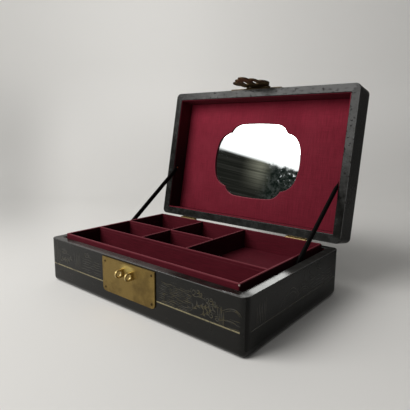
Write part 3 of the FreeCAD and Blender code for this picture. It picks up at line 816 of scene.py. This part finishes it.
def cloud(art, x, y, size, width, hand=1):
    """A scrolled cloud: curls of falling size trailing into a streamer."""
    step = size * hand
    art.curl(x, y, size, 1.35, width, 2.2, hand)
    art.curl(x + 1.45 * step, y + 0.45 * size, 0.72 * size, 1.25, width, 2.6, hand)
    art.curl(x + 2.5 * step, y - 0.1 * size, 0.6 * size, 1.2, width, 2.4, hand)
    art.stroke(flowing([(x - 0.9 * step, y - 0.3 * size), (x + 0.4 * step, y - 1.15 * size),
                        (x + 2.2 * step, y - 0.85 * size), (x + 4.4 * step, y - 1.2 * size)]), width)


def sprig(art, chance, knots, width, leaf, blossom=0.0):
    """A bent twig with paired leaves, and small round blossoms where asked."""
    line = flowing(knots)
    art.stroke(line, width)
    for i in range(3, len(line) - 1, 3):
        (x0, y0), (x1, y1) = line[i - 1], line[i]
        run = math.atan2(y1 - y0, x1 - x0)
        for hand in (-1, 1):
            angle = run + hand * chance.uniform(0.5, 1.0)
            size = leaf * chance.uniform(0.7, 1.15)
            tip = (x1 + size * math.cos(angle), y1 + size * math.sin(angle))
            bend = (x1 + 0.55 * size * math.cos(angle - 0.25 * hand),
                    y1 + 0.55 * size * math.sin(angle - 0.25 * hand))
            art.stroke(flowing([(x1, y1), bend, tip], 4), 0.30 * leaf)
        if blossom and i % 2:
            for petal in range(5):
                turn = 2 * math.pi * petal / 5
                art.curl(x1 + blossom * math.cos(turn), y1 + blossom * math.sin(turn),
                         0.55 * blossom, 0.95, 0.7 * width, turn)


def hill(art, x0, x1, y, rise, width, contours=2):
    """A leaning hill, with lower contours inside it."""
    lean = 0.08 * (x1 - x0)
    for i in range(contours):
        inset = 0.16 * i * (x1 - x0)
        art.arch(x0 + inset, x1 - 0.6 * inset, y, rise * (1 - 0.3 * i), width * (1 - 0.25 * i), lean)


def reeds(art, chance, x0, x1, y, tall, count, width):
    """A row of leaning stems of uneven height."""
    for i in range(count):
        x = x0 + (x1 - x0) * i / max(1, count - 1)
        lean = chance.uniform(-1.6, 1.6)
        height = tall * chance.uniform(0.7, 1.0)
        art.stroke(flowing([(x, y), (x + 0.2 * lean, y + 0.55 * height), (x + lean, y + height)], 5), width)


def front_face():
    return Strokes((0, -HALF_D, 0), (1, 0, 0), (0, 0, 1), (0, -1, 0))


def side_face(side):
    return Strokes((side * HALF_W, 0, 0), (0, side, 0), (0, 0, 1), (side, 0, 0))


def back_face():
    return Strokes((0, HALF_D, 0), (-1, 0, 0), (0, 0, 1), (0, 1, 0))


def lid_face():
    at = Vector(opened((0, 0, 0)))
    up, out = Vector(opened((0, 1, 0))) - at, Vector(opened((0, 0, 1))) - at
    return Strokes(opened((0, 0, LID_TOP)), (1, 0, 0), up, out)


def front_gilding():
    """A gold line to each side of the lock plate, and a landscape over it, fainter on the left."""
    lines = front_face()
    for x0, x1 in ((-GOLD_LINE_END, -GOLD_LINE_AT_PLATE), (GOLD_LINE_AT_PLATE, GOLD_LINE_END)):
        lines.stroke([(x0, GOLD_LINE_Z), (x1, GOLD_LINE_Z)], 1.5, taper=False)
    lines.piece("gilt_line_front", line_gilt, "base")

    chance = random.Random(11)
    art = front_face()
    water(art, chance, 45.0, 90.0, 25.8, 46.0, 12, 0.6)
    cloud(art, 92.0, 47.0, 3.6, 0.8)
    cloud(art, 108.0, 43.5, 3.2, 0.8)
    sprig(art, chance, [(88.0, 27.0), (97.0, 35.0), (107.0, 36.0), (120.0, 42.0)], 0.8, 5.2)
    sprig(art, chance, [(100.0, 27.0), (108.0, 30.5), (116.0, 37.0)], 0.7, 4.2)
    art.curl(113.0, 30.0, 3.2, 1.4, 1.0, 0.6)
    art.curl(119.5, 28.8, 2.8, 1.4, 1.0, 2.6, -1)
    reeds(art, chance, 121.0, 127.0, 24.8, 17.0, 5, 0.7)
    hill(art, 125.0, 146.0, 38.0, 5.0, 0.8, 2)
    hill(art, 121.0, 143.0, 28.0, 3.2, 0.7, 1)
    water(art, chance, 128.0, 145.0, 26.0, 34.0, 3, 0.55)
    art.piece("gilt_scene_front_right", faint_gilt, "base")

    art = front_face()
    reeds(art, chance, -141.0, -130.0, 26.0, 25.0, 4, 0.7)
    reeds(art, chance, -98.0, -88.0, 26.0, 24.0, 5, 0.6)
    cloud(art, -124.0, 44.0, 3.2, 0.7)
    sprig(art, chance, [(-133.0, 27.0), (-125.0, 33.0), (-114.0, 33.0), (-106.0, 37.5)], 0.6, 4.6)
    water(art, chance, -86.0, -46.0, 27.0, 42.0, 6, 0.5)
    cloud(art, -76.0, 48.0, 2.6, 0.6)
    art.piece("gilt_scene_front_left", worn_gilt, "base")


def end_gilding(side, name):
    """A worn line and landscape on one end of the base."""
    chance = random.Random(23 + side)
    art = side_face(side)
    art.stroke([(-GOLD_LINE_SIDE_END, GOLD_LINE_Z), (GOLD_LINE_SIDE_END, GOLD_LINE_Z)], 1.0, taper=False)
    hill(art, -40.0, -2.0, 28.0, 13.0, 0.5)
    hill(art, -12.0, 22.0, 27.0, 8.0, 0.5)
    water(art, chance, 20.0, 82.0, 27.0, 38.0, 4, 0.45)
    reeds(art, chance, -80.0, -66.0, 26.0, 22.0, 6, 0.5)
    cloud(art, 40.0, 46.5, 2.4, 0.45)
    art.piece(name, worn_gilt, "base")


def back_gilding():
    """A worn line across the back."""
    art = back_face()
    art.stroke([(-GOLD_LINE_END, GOLD_LINE_Z), (GOLD_LINE_END, GOLD_LINE_Z)], 1.1, taper=False)
    art.piece("gilt_line_back", worn_gilt, "base")


def lid_gilding():
    """A thin border with a flowering spray over still water, on the outside of the lid."""
    chance = random.Random(5)
    border = lid_face()
    for inset, width in ((11.0, 1.2), (14.0, 0.5)):
        x, y = HALF_W - inset, HALF_D - inset
        corners = [(-x, -y), (x, -y), (x, y), (-x, y), (-x, -y)]
        for a, b in zip(corners, corners[1:]):
            border.stroke([a, b], width, taper=False)
    border.piece("gilt_border_lid", line_gilt, "lid")

    art = lid_face()
    branch = [(-118.0, -62.0), (-88.0, -30.0), (-52.0, -22.0), (-20.0, 8.0), (18.0, 20.0)]
    sprig(art, chance, branch, 1.3, 11.0, 2.4)
    sprig(art, chance, [(-62.0, -24.0), (-58.0, 8.0), (-36.0, 34.0)], 1.0, 9.0, 2.2)
    water(art, chance, 24.0, 122.0, -64.0, -36.0, 6, 0.8)
    hill(art, 48.0, 124.0, -30.0, 34.0, 0.9, 3)
    hill(art, 30.0, 84.0, -31.0, 20.0, 0.9, 2)
    cloud(art, 44.0, 52.0, 7.0, 0.9)
    cloud(art, -96.0, 56.0, 6.0, 0.9)
    art.piece("gilt_scene_lid", faint_gilt, "lid")


front_gilding()
end_gilding(1, "gilt_scene_right")
end_gilding(-1, "gilt_scene_left")
back_gilding()
lid_gilding()


def photo_camera():
    """A camera whose place, turn and lens were fitted to the photograph."""
    azimuth, pitch, roll = (math.radians(a) for a in (CAMERA_AZIMUTH, CAMERA_PITCH, CAMERA_ROLL))
    forward = Vector((-math.sin(azimuth) * math.cos(pitch), math.cos(azimuth) * math.cos(pitch),
                      -math.sin(pitch)))
    right = forward.cross(Vector((0, 0, 1))).normalized()
    up = right.cross(forward)
    x_axis = right * math.cos(roll) + up * math.sin(roll)
    y_axis = up * math.cos(roll) - right * math.sin(roll)
    data = bpy.data.cameras.new("camera")
    data.sensor_width = CAMERA_SENSOR
    data.lens = CAMERA_LENS
    data.shift_x, data.shift_y = CAMERA_SHIFT_X, CAMERA_SHIFT_Y
    camera = bpy.data.objects.new("camera", data)
    turn = Matrix((x_axis, y_axis, -forward)).transposed().to_4x4()
    camera.matrix_world = Matrix.Translation(Vector(CAMERA_AT) * MM) @ turn
    scene.collection.objects.link(camera)
    scene.camera = camera


photo_camera()


def paper(away, right):
    """Pale paper: shaded at its far left corner, and unlit behind the box where glossy surfaces see it."""
    g = Paint("paper", {"Roughness": 0.95, "Specular IOR Level": 0.1})
    point = g.place()
    height = g.parts(point)[2]
    side, depth = g.dot(point, right), g.dot(point, away)
    floor = g.mix(g.noise(point, 3.0, 2.0), rgb(0.70, 0.695, 0.68), rgb(0.74, 0.735, 0.72))
    # Painted shade: the backdrop darker toward the left.
    screen = g.mix(g.between(side, -0.85, 0.0), rgb(0.62, 0.617, 0.605), rgb(0.91, 0.905, 0.89))
    colour = g.mix(g.between(height, 0.01, 0.35), floor, screen)
    lean = g.math("DIVIDE", side, g.plus(depth, 0.49))
    corner = g.times(g.between(lean, -0.30, -0.48), g.between(depth, 0.0, 0.5))
    corner = g.times(corner, g.between(height, 0.45, 0.12))
    colour = g.mix(g.times(corner, 0.62), colour, rgb(0.40, 0.398, 0.39))
    behind = g.dot(point, (0.35, 0.94, 0.0))
    glossy = g.add("LightPath", {}).outputs["Is Glossy Ray"]
    unlit = g.times(g.between(behind, 0.0, 0.4, 0.0, 0.7), glossy)
    return g.finish({"Base Color": g.mix(unlit, colour, rgb(0.02, 0.02, 0.02))})


def sweep():
    """A seamless pale floor that rises into a backdrop behind the box."""
    azimuth = math.radians(SWEEP_AZIMUTH)
    away = Vector((-math.sin(azimuth), math.cos(azimuth), 0.0))
    right = Vector((away.y, -away.x, 0.0))
    profile = [(SWEEP_NEAR, 0.0), (SWEEP_BEND, 0.0)]
    for i in range(1, SWEEP_STEPS + 1):
        turn = math.pi / 2 * i / SWEEP_STEPS
        profile.append((SWEEP_BEND + SWEEP_RADIUS * math.sin(turn), SWEEP_RADIUS * (1 - math.cos(turn))))
    profile.append((SWEEP_BEND + SWEEP_RADIUS, SWEEP_TOP))
    verts = []
    for reach, height in profile:
        for side in (-SWEEP_HALF, SWEEP_HALF):
            verts.append(away * reach + right * side + Vector((0, 0, height)))
    faces = [(2 * i, 2 * i + 1, 2 * i + 3, 2 * i + 2) for i in range(len(profile) - 1)]
    mesh_object("paper_sweep", verts, faces, paper(away, right))


sweep()


def window_light():
    """One large soft lamp, high at the front left."""
    data = bpy.data.lights.new("window", "AREA")
    data.shape = "RECTANGLE"
    data.size, data.size_y = LAMP_WIDTH, LAMP_LENGTH
    data.energy = LAMP_WATTS
    data.color = (1.0, 0.985, 0.96)
    lamp = bpy.data.objects.new("window", data)
    azimuth, height = math.radians(LAMP_AZIMUTH), math.radians(LAMP_HEIGHT)
    toward = Vector((-math.sin(azimuth) * math.cos(height), -math.cos(azimuth) * math.cos(height),
                     math.sin(height)))
    lamp.location = toward * LAMP_DISTANCE
    lamp.rotation_mode = "QUATERNION"
    lamp.rotation_quaternion = (-toward).to_track_quat("-Z", "Y")
    scene.collection.objects.link(lamp)


window_light()


def scenery(g, bearing, z, toward):
    """A pale sky over a dark roofline and trees, which glossy surfaces see at the front left."""
    flat = g.joined(bearing, z)
    trees = g.between(bearing, 0.575, 0.535)
    roof = g.plus(g.times(bearing, 0.0574), 0.2075)
    below = g.minus(roof, z)
    ragged = g.streaks(flat, (60.0, 60.0, 1.0), 4.0, 0.7)
    ragged = g.times(g.minus(ragged, 0.5), g.times(trees, 0.03))
    sky = g.between(g.minus(g.plus(z, ragged), roof), -0.004, 0.004)

    boards = g.streaks(flat, (4.0, 210.0, 1.0), 3.0, 0.65)
    glow = g.times(g.between(g.size(g.minus(bearing, 0.565)), 0.057, 0.0), g.between(below, 0.085, 0.005))
    glow = g.times(glow, g.between(boards, 0.30, 0.62, 0.35, 1.0))
    wall = g.mix(g.between(boards, 0.42, 0.72), rgb(0.0105, 0.0112, 0.0092), rgb(0.030, 0.030, 0.026))
    wall = g.mix(glow, wall, rgb(0.20, 0.20, 0.155))

    leaves = g.streaks(flat, (95.0, 85.0, 1.0), 5.0, 0.75)
    gaps = g.streaks(flat, (120.0, 105.0, 1.0), 2.0, 0.6)
    gaps = g.times(g.between(gaps, 0.60, 0.66), g.between(below, 0.05, 0.012))
    gaps = g.times(gaps, g.between(bearing, 0.545, 0.505, 0.25, 1.0))
    tree = g.mix(g.between(leaves, 0.42, 0.62), rgb(0.005, 0.009, 0.007), rgb(0.040, 0.046, 0.042))
    tree = g.mix(gaps, tree, rgb(0.75, 0.78, 0.78))

    ground = g.mix(trees, wall, tree)
    yard = g.times(g.between(z, 0.115, 0.090), g.between(bearing, 0.72, 0.45, 0.15, 0.55))
    ground = g.mix(yard, ground, rgb(0.80, 0.86, 0.84))
    bright = g.between(toward, -0.2, 0.85, 0.05, 1.25)
    bright = g.times(bright, g.between(bearing, 0.67, 0.745, 1.0, 0.25))
    return g.mix(sky, ground, g.scaled((0.98, 1.0, 1.0), bright))


def room():
    """Soft light from the front left, scenery for glossy surfaces, and a plain pale wall for the camera."""
    world = bpy.data.worlds.new("room")
    scene.world = world
    world.use_nodes = True
    g = Graph(world.node_tree)
    direction = g.add("TexCoord", {}).outputs["Generated"]
    x, y, z = g.parts(direction)
    toward = g.dot(direction, LIGHT_FROM)
    bearing = g.math("ARCTAN2", g.times(x, -1.0), g.times(y, -1.0))
    plain = g.scaled((1.0, 0.99, 0.97), g.between(toward, -0.25, 1.0, 0.015, 0.50))
    path = g.add("LightPath", {}).outputs
    seen = g.mix(path["Is Glossy Ray"], plain, scenery(g, bearing, z, toward))
    seen = g.mix(path["Is Camera Ray"], seen, rgb(0.72, 0.715, 0.70))
    g.feed(g.nodes["Background"], {"Color": seen})


room()

scene.view_settings.view_transform = "Standard"
